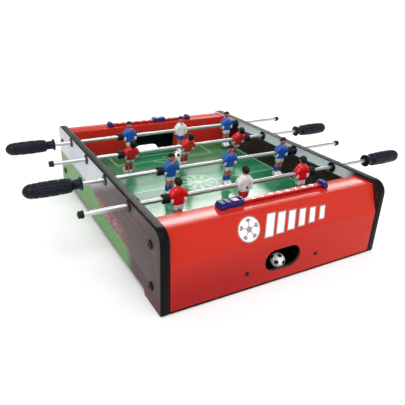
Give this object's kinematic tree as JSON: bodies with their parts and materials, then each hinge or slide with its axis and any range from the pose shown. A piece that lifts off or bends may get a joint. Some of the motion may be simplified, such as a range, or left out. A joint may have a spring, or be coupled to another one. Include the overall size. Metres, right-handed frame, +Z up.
{
  "type": "table-top football game",
  "caption": "Table-top football game: two printed side panels, hollow red end boxes with goals and ball windows, a pitch, and player rods that slide and spin in bushes.",
  "frame": {"origin": "centre of the whole object's footprint box on the surface it stands on, with the rods where they are stored; the body's own centre is 18 mm to the left of it", "axes": "+X to the right along the rods, +Y from the front end with the scorer at zero to the rear end, +Z up"},
  "size_m": [0.655, 0.51, 0.141],
  "materials": {
    "panel_laminate": "glossy printed laminate on fibreboard, dark crowd-like blur with green and maroon bands",
    "red_laminate": null,
    "pitch_print": "glossy printed pitch with mown stripes and white lines",
    "black_plastic": "satin moulded black",
    "grip_plastic": "satin moulded black with lengthwise flutes",
    "bumper_rubber": "soft matt black",
    "chrome_rod": "polished",
    "black_steel": "black oxide, satin",
    "blue_plastic": "glossy moulded blue",
    "number_strip": "glossy red with white numerals",
    "red_kit": "painted moulded figure, red shirt",
    "blue_kit": "painted moulded figure, blue shirt",
    "white_kit": "painted moulded figure, white keeper's shirt",
    "ball_white": "white with black patches"
  },
  "bodies": {
    "table": {"left_side_panel": "panel_laminate", "right_side_panel": "panel_laminate", "playfield": "pitch_print", "front_end_box": "red_laminate", "front_ball_tray": "black_plastic", "front_scorer_track": "blue_plastic", "front_scorer_numbers": "number_strip", "rear_end_box": "red_laminate", "rear_ball_tray": "black_plastic", "rear_scorer_track": "blue_plastic", "rear_scorer_numbers": "number_strip", "front_left_bolts": "black_steel", "front_right_bolts": "black_steel", "rear_left_bolts": "black_steel", "rear_right_bolts": "black_steel", "rod_1_left_bush": "black_plastic", "rod_1_right_bush": "black_plastic", "rod_2_left_bush": "black_plastic", "rod_2_right_bush": "black_plastic", "rod_3_left_bush": "black_plastic", "rod_3_right_bush": "black_plastic", "rod_4_left_bush": "black_plastic", "rod_4_right_bush": "black_plastic"},
    "rod_1_slide": {"rod_1_left_bumper": "bumper_rubber", "rod_1_right_bumper": "bumper_rubber"},
    "rod_1_spin": {"rod_1": "chrome_rod", "rod_1_handle": "grip_plastic", "rod_1_end_cap": "black_plastic", "rod_1_left_player": "red_kit", "rod_1_middle_player": "white_kit", "rod_1_right_player": "red_kit"},
    "rod_2_slide": {"rod_2_left_bumper": "bumper_rubber", "rod_2_right_bumper": "bumper_rubber"},
    "rod_2_spin": {"rod_2": "chrome_rod", "rod_2_handle": "grip_plastic", "rod_2_end_cap": "black_plastic", "rod_2_left_player": "blue_kit", "rod_2_middle_player": "blue_kit", "rod_2_right_player": "blue_kit"},
    "rod_3_slide": {"rod_3_left_bumper": "bumper_rubber", "rod_3_right_bumper": "bumper_rubber"},
    "rod_3_spin": {"rod_3": "chrome_rod", "rod_3_handle": "grip_plastic", "rod_3_end_cap": "black_plastic", "rod_3_left_player": "red_kit", "rod_3_middle_player": "red_kit", "rod_3_right_player": "red_kit"},
    "rod_4_slide": {"rod_4_left_bumper": "bumper_rubber", "rod_4_right_bumper": "bumper_rubber"},
    "rod_4_spin": {"rod_4": "chrome_rod", "rod_4_handle": "grip_plastic", "rod_4_end_cap": "black_plastic", "rod_4_left_player": "blue_kit", "rod_4_middle_player": "white_kit", "rod_4_right_player": "blue_kit"},
    "front_scorer": {"front_scorer_slider": "blue_plastic"},
    "rear_scorer": {"rear_scorer_slider": "blue_plastic"},
    "tray_ball_body": {"tray_ball": "ball_white"},
    "pitch_ball_body": {"pitch_ball": "ball_white"}
  },
  "joints": [
    {"name": "rod_1_push", "type": "slide", "parent": "table", "child": "rod_1_slide", "axis": [1, 0, 0], "range_m": [-0.0345, 0.0405]},
    {"name": "rod_1_turn", "type": "hinge", "parent": "rod_1_slide", "child": "rod_1_spin", "pos_m": [-0.021, -0.15, 0.112], "axis": [1, 0, 0], "continuous": true},
    {"name": "rod_2_push", "type": "slide", "parent": "table", "child": "rod_2_slide", "axis": [1, 0, 0], "range_m": [-0.0705, 0.0045]},
    {"name": "rod_2_turn", "type": "hinge", "parent": "rod_2_slide", "child": "rod_2_spin", "pos_m": [0.015, -0.05, 0.112], "axis": [1, 0, 0], "continuous": true},
    {"name": "rod_3_push", "type": "slide", "parent": "table", "child": "rod_3_slide", "axis": [1, 0, 0], "range_m": [-0.0405, 0.0345]},
    {"name": "rod_3_turn", "type": "hinge", "parent": "rod_3_slide", "child": "rod_3_spin", "pos_m": [-0.015, 0.05, 0.112], "axis": [1, 0, 0], "continuous": true},
    {"name": "rod_4_push", "type": "slide", "parent": "table", "child": "rod_4_slide", "axis": [1, 0, 0], "range_m": [-0.075, 0]},
    {"name": "rod_4_turn", "type": "hinge", "parent": "rod_4_slide", "child": "rod_4_spin", "pos_m": [0.0195, 0.15, 0.112], "axis": [1, 0, 0], "continuous": true},
    {"name": "front_scorer_slide", "type": "slide", "parent": "table", "child": "front_scorer", "axis": [1, 0, 0], "range_m": [0, 0.139]},
    {"name": "rear_scorer_slide", "type": "slide", "parent": "table", "child": "rear_scorer", "axis": [1, 0, 0], "range_m": [-0.0895, 0.0495]},
    {"name": "tray_ball_roll", "type": "slide", "parent": "table", "child": "tray_ball_body", "axis": [1, 0, 0], "range_m": [-0.052, 0.044]},
    {"name": "pitch_ball_roll", "type": "slide", "parent": "table", "child": "pitch_ball_body", "axis": [1, 0, 0], "range_m": [-0.1775, 0.1535]}
  ]
}
